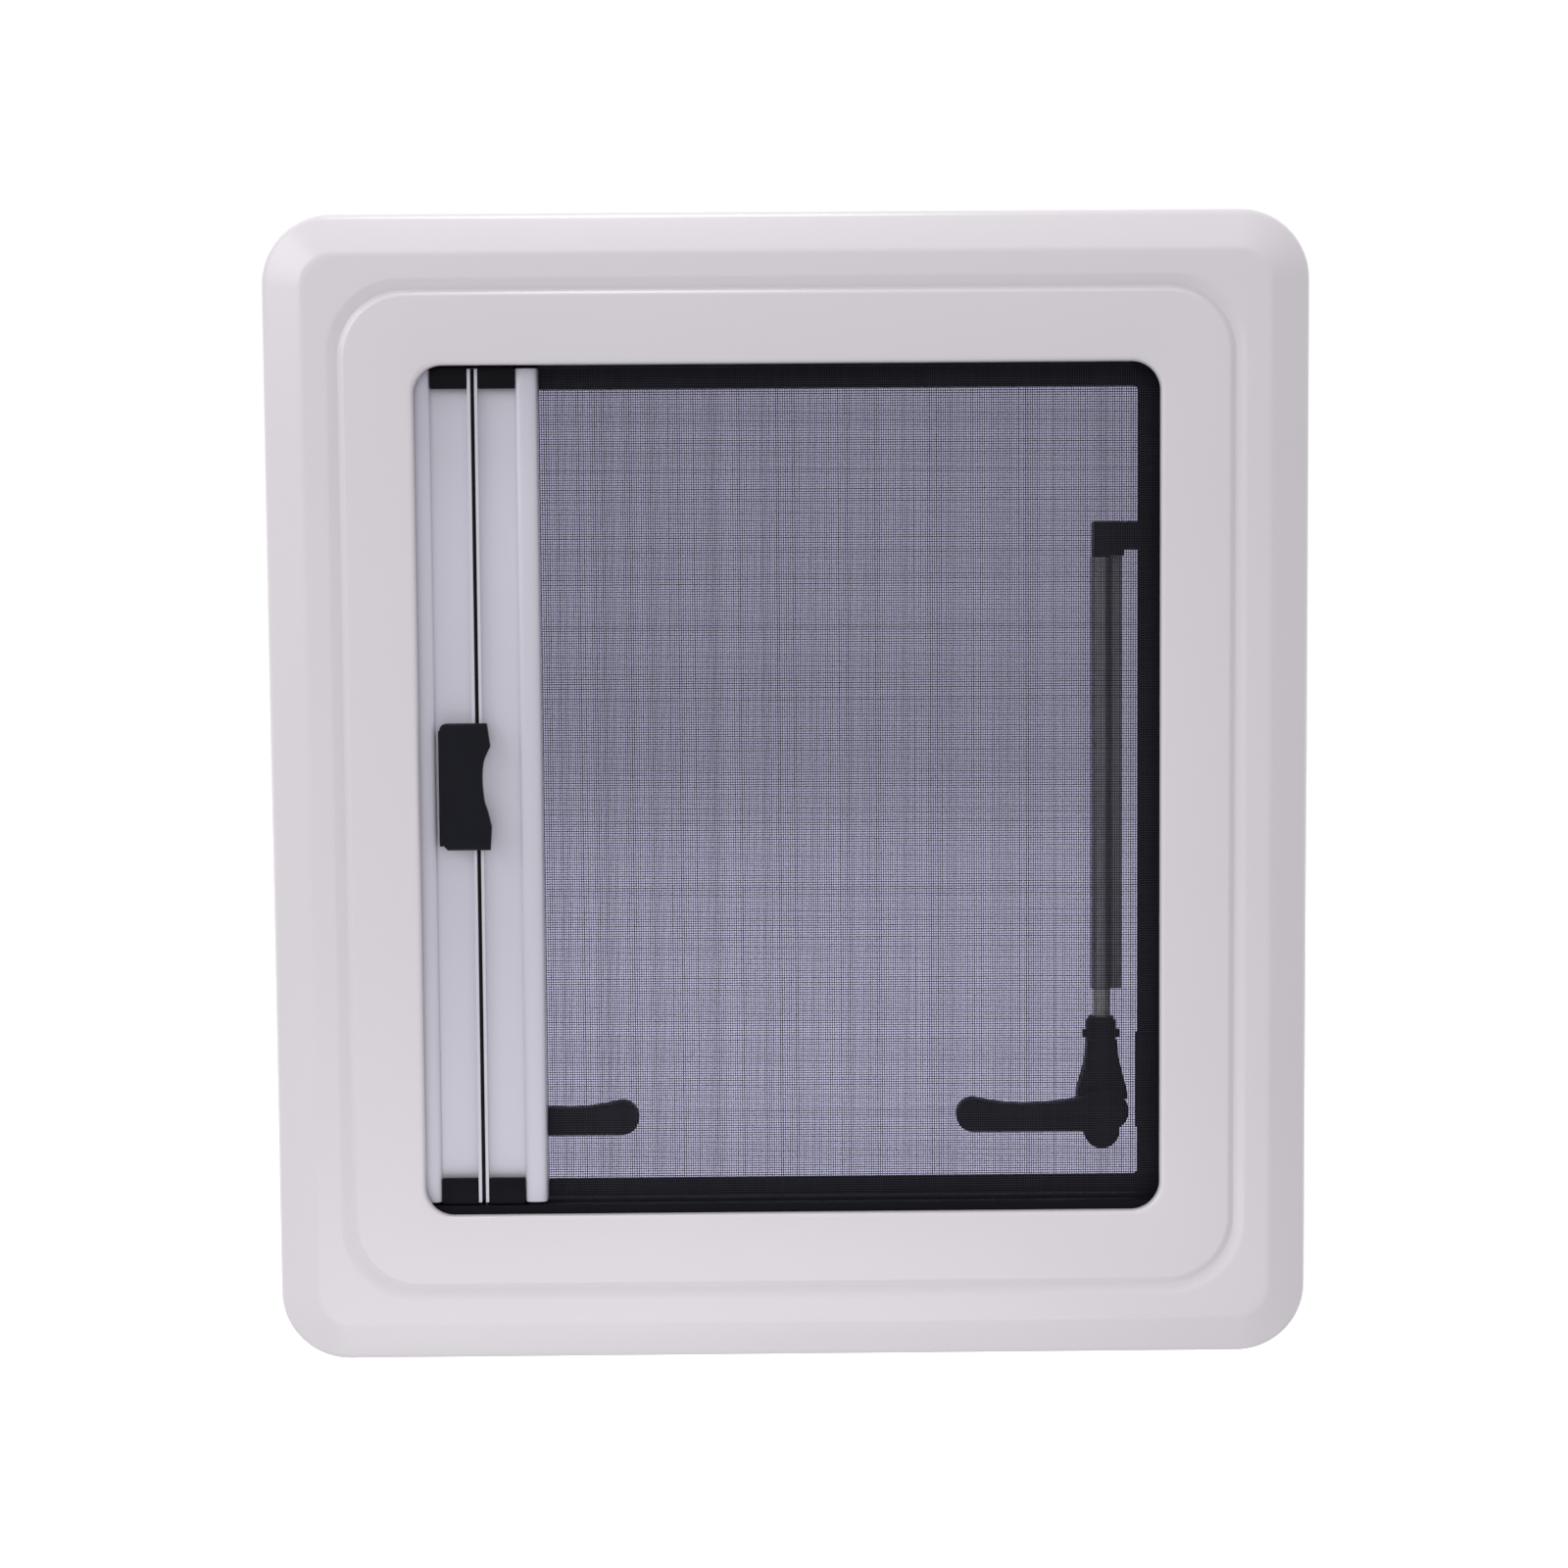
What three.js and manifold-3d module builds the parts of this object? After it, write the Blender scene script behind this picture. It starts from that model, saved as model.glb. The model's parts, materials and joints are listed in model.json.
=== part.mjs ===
// A top-hung push-out window for a vehicle wall, seen from inside: a moulded inner trim with a roller
// blind and an insect screen, a black outer frame through the wall, and a double-skinned acrylic sash
// on a bead hinge, with two lever latches and two telescopic stays.
// Millimetres. X is to the right seen from inside, Y points outdoors and Z is up. The origin is the
// centre of the wall cut-out, on the inner face of the wall.
import * as THREE from 'three';
import { mergeVertices } from 'three/addons/utils/BufferGeometryUtils.js';
import Module from 'manifold-3d';

const wasm = await Module();
wasm.setup();

// ---- Driving dimensions -------------------------------------------------------------------------
const GAP = 0.3; // clearance left between neighbouring solids
const WALL = 28; // wall thickness
const CORNER_STEPS = 12; // facets in a quarter turn of the big rounded rectangles
const CURVE_STEPS = 16; // facets in each arc or curve of an extruded outline

const TRIM = {
  shift: -2.8, // the trim is clamped a little to the left of the frame's centre
  halfWidth: 253.7,
  halfHeight: 280.5,
  corner: 34,
  front: -29.6,
  skin: 3,
  border: 73.8,
};
const FRAME = {
  openHalfWidth: 173,
  openHalfHeight: 199.2,
  openCorner: 1.8,
  webFront: 20,
  webBack: 23,
  seatHalfWidth: 194,
  seatHalfHeight: 219,
  sleeveHalfWidth: 221,
  sleeveHalfHeight: 246,
  sleeveStart: 2,
  flangeHalfWidth: 242,
  flangeHalfHeight: 267,
  flangeFace: 32.5,
  skin: 3,
};
const SASH = {
  halfWidth: 212,
  halfHeight: 231,
  corner: 40,
  innerFace: 26, // the dished pane's face, towards the room
  flangeFace: 37.2,
  bond: 39.85, // the plane where the two panes are bonded
  outerFace: 44,
  innerSkin: 2.5,
};
const HINGE = { y: 38, z: 239, bead: 2.4, socket: 2.8, wall: 1.9, length: 330 };
const LATCH = {
  x: 154.6,
  z: -161.4,
  hub: 9.9,
  tipX: 87.25,
  tipZ: -162.9,
  tip: 8.35,
  front: -8.5,
  back: -1,
  spindle: 4,
  footZ: -176.4,
  foot: 8.95,
  baseFront: 16.8,
};
const KEEPER = { inner: 171.7, outer: 181, bottom: -174.5, top: -125.9, front: 17.4 };
const STAY = {
  x: 153,
  y: 9,
  lowPivot: -146,
  highPivot: 122,
  rod: 4.6,
  rodBottom: -130.5,
  rodTop: 75,
  bore: 4.95,
  tube: 5.8,
  tubeBottom: -102,
  tubeTop: 113.8,
  rib: 10.2,
  neck: 6.4,
  knuckleTop: -116.2,
  pin: 2,
};
const BAR = {
  bottom: -201.2,
  top: 205.3,
  front: -23,
  floor: -19.2,
  back: -10.5,
  skin: 1.3,
};
const BLIND_BAR = { bumpEdge: -185.6, bump: 13, lipEdge: -152.8, lip: 1.6 };
const SCREEN_BAR = { bumpEdge: -120.9, bump: 10.5, lipEdge: -150.9, lip: 1.5 };
const TRACK = { halfLength: 188, front: -24, back: -5, slotFront: -19.2, slotBack: -10.8 };
const TRACK_TOP = { face: 206.8, slot: 218, outer: 222 };
const TRACK_BOTTOM = { face: -202.6, slot: -215, outer: -220 };
const CASSETTE = {
  inner: 188.4,
  outer: 215,
  front: -24,
  back: 1,
  skin: 1.5,
  halfHeight: 222,
  axisX: 201.7,
  axisY: -11.5,
};
const ROLLER = { radius: 8, bore: 7, halfLength: 218, plug: 6.6, plugLength: 14 };
const FABRIC = { bottom: -213, top: 216, middle: -15, blind: 0.4, screen: 0.5, roll: 10.5 };
const HANDLE = {
  left: -170,
  bottom: -27.3,
  top: 34.5,
  front: -27,
  back: -23.3,
  pinX: -167.5,
  pinY: -21,
  pin: 0.75,
};

// ---- Materials ----------------------------------------------------------------------------------
const paint = (color, roughness, metalness = 0, extra = {}) =>
  new THREE.MeshStandardMaterial({ color, roughness, metalness, ...extra });
const clear = { transparent: true, opacity: 0.3 };
const CREAM = paint(0xd2cdd2, 0.4);
const BLACK_FRAME = paint(0x1b1b1f, 0.5);
const BLACK_HARDWARE = paint(0x1e1e22, 0.45);
const BLACK_TRACK = paint(0x202024, 0.5);
const RUBBER = paint(0x151516, 0.85);
const SILVER = paint(0xb9b7c3, 0.4, 0.5);
const STEEL = paint(0x8c8c90, 0.3, 0.9);
const ALUMINIUM = paint(0x77787c, 0.35, 0.8);
const ACRYLIC = paint(0xdfe4ee, 0.05, 0, clear);
const BLIND_CLOTH = paint(0xc9c9cf, 0.8);
const NET = paint(0x2a2a30, 0.8, 0, clear);

// ---- Geometry helpers ---------------------------------------------------------------------------
/** Keeps only positions, with shared vertices merged. */
function welded(geometry) {
  const bare = geometry.clone();
  bare.deleteAttribute('normal');
  bare.deleteAttribute('uv');
  return mergeVertices(bare, 1e-5);
}

/** A manifold-3d solid from a closed three.js geometry. */
function solid(geometry) {
  const mesh = welded(geometry);
  return new wasm.Manifold(
    new wasm.Mesh({
      numProp: 3,
      vertProperties: new Float32Array(mesh.attributes.position.array),
      triVerts: new Uint32Array(mesh.index.array),
    }),
  );
}

/** A three.js geometry from a manifold-3d solid. */
function surface(body) {
  const mesh = body.getMesh();
  const geometry = new THREE.BufferGeometry();
  geometry.setAttribute('position', new THREE.BufferAttribute(mesh.vertProperties, 3));
  geometry.setIndex(new THREE.BufferAttribute(mesh.triVerts, 1));
  return geometry;
}

const joined = (...parts) => surface(parts.map(solid).reduce((a, b) => a.add(b)));

const cut = (base, ...tools) =>
  surface(tools.map(solid).reduce((a, b) => a.subtract(b), solid(base)));

/** The same shape seen in a mirror across the plane x = 0. */
function mirrored(geometry) {
  const flipped = welded(geometry);
  const position = flipped.attributes.position;
  for (let i = 0; i < position.count; i += 1) {
    position.setX(i, -position.getX(i));
  }
  const index = flipped.index.array;
  for (let i = 0; i < index.length; i += 3) {
    [index[i], index[i + 1]] = [index[i + 1], index[i]];
  }
  return flipped;
}

/** A box from its lowest and highest corners. */
function block(low, high) {
  const size = high.map((value, axis) => value - low[axis]);
  const centre = high.map((value, axis) => (value + low[axis]) / 2);
  return new THREE.BoxGeometry(...size).translate(...centre);
}

const extruded = (shape, depth) =>
  new THREE.ExtrudeGeometry(shape, { depth, bevelEnabled: false, curveSegments: CURVE_STEPS });

/** A shape drawn in X and Z, standing between two depths. */
const slab = (shape, near, far) =>
  extruded(shape, far - near).rotateX(Math.PI / 2).translate(0, far, 0);

/** A plan shape drawn in X and Y, standing between two heights. */
const column = (shape, bottom, top) => extruded(shape, top - bottom).translate(0, 0, bottom);

/** A section drawn in Y and Z, lying along X between two ends. */
function beam(shape, start, end) {
  const across = new THREE.Matrix4().makeBasis(
    new THREE.Vector3(0, 1, 0),
    new THREE.Vector3(0, 0, 1),
    new THREE.Vector3(1, 0, 0),
  );
  return extruded(shape, end - start).applyMatrix4(across).translate(start, 0, 0);
}

/** A cylinder along X, Y or Z between two places on that axis, through the point `at`. */
function rod(axis, radius, start, end, at, sides = 20) {
  const geometry = new THREE.CylinderGeometry(radius, radius, end - start, sides);
  if (axis === 'x') {
    geometry.rotateZ(-Math.PI / 2);
  }
  if (axis === 'z') {
    geometry.rotateX(Math.PI / 2);
  }
  const centre = { ...at, [axis]: (start + end) / 2 };
  return geometry.translate(centre.x, centre.y, centre.z);
}

/** A straight-edged shape through points. */
const outline = (points) => new THREE.Shape(points.map(([a, b]) => new THREE.Vector2(a, b)));

const rectangle = (left, low, right, high) =>
  outline([
    [left, low],
    [right, low],
    [right, high],
    [left, high],
  ]);

/** The stations of a rounded rectangle, counter-clockwise from the right-hand side. */
function roundedRing({ w, h, r, y }) {
  const ring = [];
  const corners = [
    [1, 1],
    [-1, 1],
    [-1, -1],
    [1, -1],
  ];
  corners.forEach(([sx, sz], quarter) => {
    for (let step = 0; step <= CORNER_STEPS; step += 1) {
      const angle = ((quarter + step / CORNER_STEPS) * Math.PI) / 2;
      ring.push([sx * (w - r) + r * Math.cos(angle), y, sz * (h - r) + r * Math.sin(angle)]);
    }
  });
  return ring;
}

/** Turns the faces round if they point inwards. */
function facingOut(geometry) {
  const p = geometry.attributes.position;
  const index = geometry.index.array;
  const at = (i) => new THREE.Vector3().fromBufferAttribute(p, index[i]);
  let volume = 0;
  for (let i = 0; i < index.length; i += 3) {
    volume += at(i).dot(at(i + 1).cross(at(i + 2)));
  }
  if (volume < 0) {
    for (let i = 0; i < index.length; i += 3) {
      [index[i], index[i + 1]] = [index[i + 1], index[i]];
    }
  }
  return geometry;
}

/** A skin through rounded rectangles: it closes on itself, or its first and last rings are capped. */
function lofted(sections, capped) {
  const rings = sections.map(roundedRing);
  const stations = rings[0].length;
  const faces = [];
  const spans = capped ? rings.length - 1 : rings.length;
  for (let i = 0; i < spans; i += 1) {
    const here = i * stations;
    const next = ((i + 1) % rings.length) * stations;
    for (let k = 0; k < stations; k += 1) {
      const after = (k + 1) % stations;
      faces.push(here + k, here + after, next + k, here + after, next + after, next + k);
    }
  }
  if (capped) {
    const last = (rings.length - 1) * stations;
    for (let k = 1; k < stations - 1; k += 1) {
      faces.push(0, k + 1, k, last, last + k, last + k + 1);
    }
  }
  const geometry = new THREE.BufferGeometry();
  geometry.setAttribute('position', new THREE.Float32BufferAttribute(rings.flat(2), 3));
  geometry.setIndex(faces);
  return facingOut(geometry);
}

// ---- Frame, trim and seals ----------------------------------------------------------------------
/** One moulded skin, open at the back: rounded edge, slope, flat with a shallow groove, rolled lip. */
function innerTrim() {
  const at = (inset, y, r) => ({ w: TRIM.halfWidth - inset, h: TRIM.halfHeight - inset, r, y });
  const { border, skin, corner, front } = TRIM;
  return lofted([
    at(0, 0, corner),
    at(0, -15.5, corner),
    at(1.3, -18.9, corner - 1),
    at(4.5, -20.8, corner - 4),
    at(18.7, -28, 17.5),
    at(21.7, -29, 16),
    at(32.6, front + 0.3, 36),
    at(37.3, -27.8, 32.5),
    at(40.8, front + 0.1, 30),
    at(border - 2.8, front, 16.5),
    at(border - 0.9, front + 0.8, 14.8),
    at(border, front + 2.7, 14),
    at(border, -24.6, 14),
    at(border - 2.5, -24.6, 16),
    at(border - 2.5, front + skin, 16),
    at(41.5, front + skin, 30),
    at(37, -24.9, 32),
    at(22, -26, 14),
    at(7, -18.4, 27),
    at(skin, -16, corner - skin),
    at(skin, -skin, corner - skin),
    at(18, -skin, 16),
    at(18, 0, 16),
  ]);
}

/** Web round the opening, seat for the sash seal, flange on the wall's outer face and the sleeve. */
function outerFrame() {
  const { skin, webFront, webBack, flangeFace, sleeveStart } = FRAME;
  const rim = (grow, y, r) => ({
    w: FRAME.seatHalfWidth + grow,
    h: FRAME.seatHalfHeight + grow,
    r,
    y,
  });
  const opening = (y) => ({
    w: FRAME.openHalfWidth,
    h: FRAME.openHalfHeight,
    r: FRAME.openCorner,
    y,
  });
  const flange = (y) => ({ w: FRAME.flangeHalfWidth, h: FRAME.flangeHalfHeight, r: 40, y });
  const sleeve = (inset, y) => ({
    w: FRAME.sleeveHalfWidth - inset,
    h: FRAME.sleeveHalfHeight - inset,
    r: 24 - inset,
    y,
  });
  const flangeBack = WALL + 1.7;
  return lofted([
    opening(webFront),
    opening(webBack),
    rim(0, webBack, 20),
    rim(0, flangeFace, 20),
    flange(flangeFace),
    flange(flangeBack),
    sleeve(0, flangeBack),
    sleeve(0, sleeveStart),
    sleeve(skin, sleeveStart),
    sleeve(skin, flangeFace - 5),
    rim(skin, flangeFace - 5, 20),
    rim(skin, webFront, 20),
  ]);
}

/** A flat ring between two depths. */
function gasket(inner, outer, near, far) {
  return lofted([
    { ...inner, y: near },
    { ...inner, y: far },
    { ...outer, y: far },
    { ...outer, y: near },
  ]);
}

const wallSeal = () =>
  gasket({ w: 228, h: 253, r: 27 }, { w: 240, h: 265, r: 38 }, WALL, WALL + 1.4);

/** A soft bulb between the flange and the sash. */
function weatherSeal() {
  const near = FRAME.flangeFace + GAP;
  const far = SASH.flangeFace - 0.2;
  const at = (grow, y) => ({ w: 199 + grow, h: 218.5 + grow, r: 32 + grow, y });
  return lofted([at(0, near), at(0.6, far - 0.8), at(2.4, far), at(4.6, far), at(6.4, far - 0.8),
    at(7, near)]);
}

/** Angle clip that pulls the sleeve to the inner face of the wall, at the top edge. */
function wallClamp() {
  const inner = FRAME.sleeveHalfHeight - FRAME.skin - GAP;
  const section = outline([
    [-2.5, inner - 3.2],
    [16, inner - 3.2],
    [16, inner],
    [0, inner],
    [0, 260.8],
    [-2.5, 260.8],
  ]);
  return beam(section, -12, 12);
}

// ---- Sash and its hinge -------------------------------------------------------------------------
function outerPane() {
  const at = (inset, y) => ({
    w: SASH.halfWidth - inset,
    h: SASH.halfHeight - inset,
    r: SASH.corner - inset,
    y,
  });
  return lofted([at(0, 40.15), at(0, SASH.outerFace - 0.8), at(0.8, SASH.outerFace)], true);
}

/** Thermoformed pane: a flat bonding flange, sloping sides and a flat middle nearer the room. */
function innerPane() {
  const { flangeFace, bond, innerFace, innerSkin, corner } = SASH;
  const edge = (y) => ({ w: SASH.halfWidth, h: SASH.halfHeight, r: corner, y });
  return lofted(
    [
      { w: 178.6, h: 202.6, r: 23, y: innerFace + innerSkin },
      { w: 190.2, h: 214.2, r: 32, y: bond },
      edge(bond),
      edge(flangeFace),
      { w: 192, h: 216, r: 34, y: flangeFace },
      { w: 180, h: 204, r: 24, y: innerFace },
    ],
    true,
  );
}

/** Angle over the panes' top edge, with the hinge bead on a thin neck. */
function sashHingeRail() {
  const top = SASH.halfHeight + 0.4;
  const face = SASH.outerFace + GAP;
  const section = outline([
    [HINGE.y - 0.8, top],
    [face, top],
    [face, top - 12.4],
    [face + 1.6, top - 12.4],
    [face + 1.6, top + 1.6],
    [HINGE.y + 0.8, top + 1.6],
    [HINGE.y + 0.8, HINGE.z - 1],
    [HINGE.y - 0.8, HINGE.z - 1],
  ]);
  const half = HINGE.length / 2;
  return joined(beam(section, -half, half), rod('x', HINGE.bead, -half, half, HINGE));
}

/** C-shaped socket round the bead, open downwards and outwards, on a plate on the flange. */
function frameHingeRail() {
  const mouth = [-20, 70].map((degrees) => THREE.MathUtils.degToRad(degrees - 90));
  const outer = HINGE.socket + HINGE.wall;
  const section = new THREE.Shape();
  section.absarc(HINGE.y, HINGE.z, outer, mouth[1], mouth[0] + 2 * Math.PI, false);
  section.absarc(HINGE.y, HINGE.z, HINGE.socket, mouth[0] + 2 * Math.PI, mouth[1], true);
  section.closePath();
  const back = FRAME.flangeFace + GAP;
  const plate = rectangle(back, HINGE.z + 1, back + 1.8, HINGE.z + 20);
  const half = HINGE.length / 2;
  return joined(beam(section, -half, half), beam(plate, -half, half));
}

// ---- Latches ------------------------------------------------------------------------------------
/** The smallest outline round two circles, one above the other. */
function pear(x, upper, upperRadius, lower, lowerRadius) {
  const lean = Math.asin((upperRadius - lowerRadius) / (upper - lower));
  const shape = new THREE.Shape();
  shape.absarc(x, upper, upperRadius, -lean, Math.PI + lean, false);
  shape.absarc(x, lower, lowerRadius, Math.PI + lean, 2 * Math.PI - lean, false);
  shape.closePath();
  return shape;
}

function latchBase() {
  const plate = pear(LATCH.x, LATCH.z, LATCH.hub - 0.4, LATCH.footZ, LATCH.foot);
  const hole = new THREE.Path();
  hole.absarc(LATCH.x, LATCH.z, LATCH.spindle + GAP, 0, 2 * Math.PI, false);
  plate.holes.push(hole);
  return slab(plate, LATCH.baseFront, SASH.innerFace - GAP);
}

/** Blade with a round tip, a straight lower edge, a hollowed upper edge and a round hub. */
function latchLever() {
  const blade = new THREE.Shape();
  blade.absarc(LATCH.x, LATCH.z, LATCH.hub, -Math.PI / 2, Math.PI / 2 + 0.5, false);
  blade.splineThru([
    new THREE.Vector2(138, -155.6),
    new THREE.Vector2(126, -157.2),
    new THREE.Vector2(112.5, -157.9),
    new THREE.Vector2(100, -156.9),
    new THREE.Vector2(LATCH.tipX + 2.4, LATCH.tipZ + LATCH.tip - 0.4),
  ]);
  blade.absarc(LATCH.tipX, LATCH.tipZ, LATCH.tip, 0.4 * Math.PI, 1.5 * Math.PI, false);
  blade.closePath();
  return slab(blade, LATCH.front, LATCH.back);
}

/** Spindle through the base, with a catch nose that points to the keeper. */
function latchSpindle() {
  const near = 13.2;
  const far = 16.4;
  const nose = rectangle(LATCH.x, LATCH.z - 5.5, LATCH.x + 10.6, LATCH.z + 2);
  return joined(
    rod('y', LATCH.spindle, LATCH.back + GAP, 24.5, LATCH),
    rod('y', 5.5, near, far, LATCH),
    slab(nose, near, far),
  );
}

const latchKeeper = () =>
  block(
    [KEEPER.inner, KEEPER.front, KEEPER.bottom],
    [KEEPER.outer, FRAME.webFront - GAP, KEEPER.top],
  );

// ---- Stays --------------------------------------------------------------------------------------
const LOW_PIVOT = { y: STAY.y, z: STAY.lowPivot };
const STAY_AXIS = { x: STAY.x, y: STAY.y };

/** Plate on the pane with one eye that stands out to the stay's lower pivot. */
function staySashBracket() {
  const back = SASH.innerFace - GAP;
  const eye = 2.2;
  const plate = block([STAY.x - 5, back - 2.2, -151.3], [STAY.x + 5, back, -134]);
  const arm = block([STAY.x - eye, STAY.y, -151], [STAY.x + eye, back - 1, -141]);
  const end = rod('x', 5, STAY.x - eye, STAY.x + eye, LOW_PIVOT);
  const hole = rod('x', STAY.pin + 0.35, STAY.x - 5, STAY.x + 5, LOW_PIVOT, 12);
  return cut(joined(plate, arm, end), hole);
}

const stayPin = () => rod('x', STAY.pin, STAY.x - 9.2, STAY.x + 9.2, LOW_PIVOT, 12);

/** Round neck that holds the rod, flaring to a flat bell that straddles the sash bracket's eye. */
function stayKnuckle() {
  const bell = new THREE.Shape();
  bell.moveTo(STAY.x - 7.6, -128);
  bell.lineTo(STAY.x - 8, -136.5);
  bell.quadraticCurveTo(STAY.x - 8.9, -142.5, STAY.x - 12.4, -153);
  bell.lineTo(STAY.x - 12.5, -157.5);
  bell.lineTo(STAY.x + 12.5, -157.5);
  bell.lineTo(STAY.x + 12.4, -154);
  bell.quadraticCurveTo(STAY.x + 9.6, -142.5, STAY.x + 8, -136.5);
  bell.lineTo(STAY.x + 7.4, -128);
  bell.closePath();
  const neck = rod('z', STAY.neck, -139, STAY.knuckleTop, STAY_AXIS);
  const body = joined(slab(bell, 2.8, 12.5), neck);
  return cut(
    body,
    rod('z', STAY.rod + GAP, STAY.rodBottom - 0.5, STAY.knuckleTop + 1, STAY_AXIS),
    block([STAY.x - 2.6, 4, -160], [STAY.x + 2.6, 16, -138.5]),
    rod('y', 6.5, 0, 14, { x: LATCH.x, z: LATCH.z }),
    rod('x', STAY.pin + 0.35, STAY.x - 14, STAY.x + 14, LOW_PIVOT, 12),
  );
}

const stayRod = () => rod('z', STAY.rod, STAY.rodBottom, STAY.rodTop, STAY_AXIS, 24);

/** Twist ring round the knuckle's neck, with two finger wings. */
function stayLock() {
  const low = -127.5;
  const high = -118.3;
  const ring = rod('z', 7.6, low, high, STAY_AXIS, 24);
  const wings = block([STAY.x - 9.3, STAY.y - 2, -126.6], [STAY.x + 9.3, STAY.y + 2, -123.1]);
  return cut(joined(ring, wings), rod('z', STAY.neck + 0.4, low - 1, high + 1, STAY_AXIS, 24));
}

/** Drawn tube with a side rib, open at both ends. */
function stayTube() {
  const { tubeBottom: low, tubeTop: high } = STAY;
  const rib = rectangle(STAY.x + STAY.tube - 1.6, STAY.y - 3, STAY.x + STAY.rib, STAY.y + 3);
  return cut(
    joined(rod('z', STAY.tube, low, high, STAY_AXIS, 24), column(rib, low, high)),
    rod('z', STAY.bore, low - 1, high + 1, STAY_AXIS, 24),
  );
}

/** Hood on the tube's upper end, with a plug in the bore. */
function stayTubeCap() {
  const low = STAY.tubeTop + GAP;
  return joined(
    block([STAY.x - 3.9 - GAP, 3, low], [STAY.x + 10.6, 15, 131]),
    rod('z', STAY.bore - GAP, low - 14, low + 1, STAY_AXIS, 20),
  );
}

/** Arm from the web to the side of the hood. */
function stayFrameBracket() {
  const back = FRAME.webFront - GAP;
  const hood = STAY.x + 10.6 + GAP;
  const arm = block([hood, 3, 117.4], [FRAME.openHalfWidth + 4, back, 131]);
  const foot = block([FRAME.openHalfWidth + 0.8, back - 2.5, 108], [190, back, 140]);
  return joined(arm, foot);
}

// ---- Blind and screen ---------------------------------------------------------------------------
/** Plan of a hollow pull bar: a half-round grip, a recess and a thin lip on its free edge. */
function barPlan({ bumpEdge, bump, lipEdge, lip }) {
  const out = Math.sign(bumpEdge - lipEdge);
  const bumpStart = bumpEdge - out * bump;
  const bumpMiddle = bumpEdge - (out * bump) / 2;
  const bumpSide = BAR.front + 2.6;
  const plan = new THREE.Shape();
  plan.moveTo(bumpEdge, BAR.back);
  plan.lineTo(bumpEdge, bumpSide);
  plan.quadraticCurveTo(bumpEdge, BAR.front, bumpMiddle, BAR.front);
  plan.quadraticCurveTo(bumpStart, BAR.front, bumpStart, bumpSide);
  plan.lineTo(bumpStart, BAR.floor);
  plan.lineTo(lipEdge + out * lip, BAR.floor);
  plan.lineTo(lipEdge + out * lip, BAR.front);
  plan.lineTo(lipEdge, BAR.front);
  plan.lineTo(lipEdge, BAR.back);
  plan.closePath();
  const sides = [bumpEdge - out * BAR.skin, lipEdge + out * BAR.skin].sort((a, b) => a - b);
  const chamber = rectangle(sides[0], BAR.floor + BAR.skin, sides[1], BAR.back - BAR.skin);
  plan.holes.push(new THREE.Path(chamber.getPoints()));
  return plan;
}

const pullBar = (bar) => column(barPlan(bar), BAR.bottom, BAR.top);

/** Dark strip on the blind bar's free edge that closes the slit between the two bars. */
const barSeal = () =>
  block(
    [BLIND_BAR.lipEdge + GAP, -22, BAR.bottom + 1],
    [SCREEN_BAR.lipEdge - GAP, BAR.back - 1, BAR.top - 1],
  );

/** Black end piece: a plug in the recess, a plate over the bar's end and a tongue in the track. */
function barCap(bar, end, track, plug) {
  const out = Math.sign(bar.bumpEdge - bar.lipEdge);
  const up = Math.sign(end);
  const recess = [bar.bumpEdge - out * (bar.bump + GAP), bar.lipEdge + out * (bar.lip + GAP)];
  const across = [Math.min(...recess), Math.max(...recess)];
  const plate = [end + up * GAP, track.face - up * GAP];
  const between = (a, b) => [Math.min(a, b), Math.max(a, b)];
  const [plateLow, plateHigh] = between(...plate);
  const [plugLow, plugHigh] = between(plug, plate[1]);
  const [tongueLow, tongueHigh] = between(plate[0], track.slot - up * 4);
  return joined(
    block([across[0], -22.6, plateLow], [across[1], BAR.back - 1, plateHigh]),
    block([across[0], -22.6, plugLow], [across[1], BAR.floor - GAP, plugHigh]),
    block([across[0] + 2, -17.6, tongueLow], [across[1] - 2, -12.4, tongueHigh]),
  );
}

/** Channel along the top or bottom edge in which the bars' tongues run. */
function track({ face, slot, outer }) {
  const section = outline([
    [TRACK.front, face],
    [TRACK.slotFront, face],
    [TRACK.slotFront, slot],
    [TRACK.slotBack, slot],
    [TRACK.slotBack, face],
    [TRACK.back, face],
    [TRACK.back, outer],
    [TRACK.front, outer],
  ]);
  return beam(section, -TRACK.halfLength, TRACK.halfLength);
}

/** Box round the roller, with a slot towards the opening. The one on the right-hand side. */
function cassette() {
  const { inner, outer, front, back, skin, halfHeight } = CASSETTE;
  const slotFront = FABRIC.middle - 2.5;
  const slotBack = FABRIC.middle + 2.5;
  const plan = outline([
    [inner, slotFront],
    [inner, front],
    [outer, front],
    [outer, back],
    [inner, back],
    [inner, slotBack],
    [inner + skin, slotBack],
    [inner + skin, back - skin],
    [outer - skin, back - skin],
    [outer - skin, front + skin],
    [inner + skin, front + skin],
    [inner + skin, slotFront],
  ]);
  return column(plan, -halfHeight, halfHeight);
}

const ROLLER_AXIS = { x: CASSETTE.axisX, y: CASSETTE.axisY };

/** Lid on the cassette's upper end, with the stub that the roller turns on. */
function cassetteCap() {
  const low = CASSETTE.halfHeight + GAP;
  const { inner, outer, front, back } = CASSETTE;
  return joined(
    block([inner, front, low], [outer, back, low + 2]),
    rod('z', ROLLER.plug, low - ROLLER.plugLength, low + 1, ROLLER_AXIS),
  );
}

/** A hollow cylinder on the roller's axis. */
function sleeve(radius, bore, low, high) {
  return cut(
    rod('z', radius, low, high, ROLLER_AXIS, 24),
    rod('z', bore, low - 1, high + 1, ROLLER_AXIS, 24),
  );
}

const rollerTube = () => sleeve(ROLLER.radius, ROLLER.bore, -ROLLER.halfLength, ROLLER.halfLength);

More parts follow.
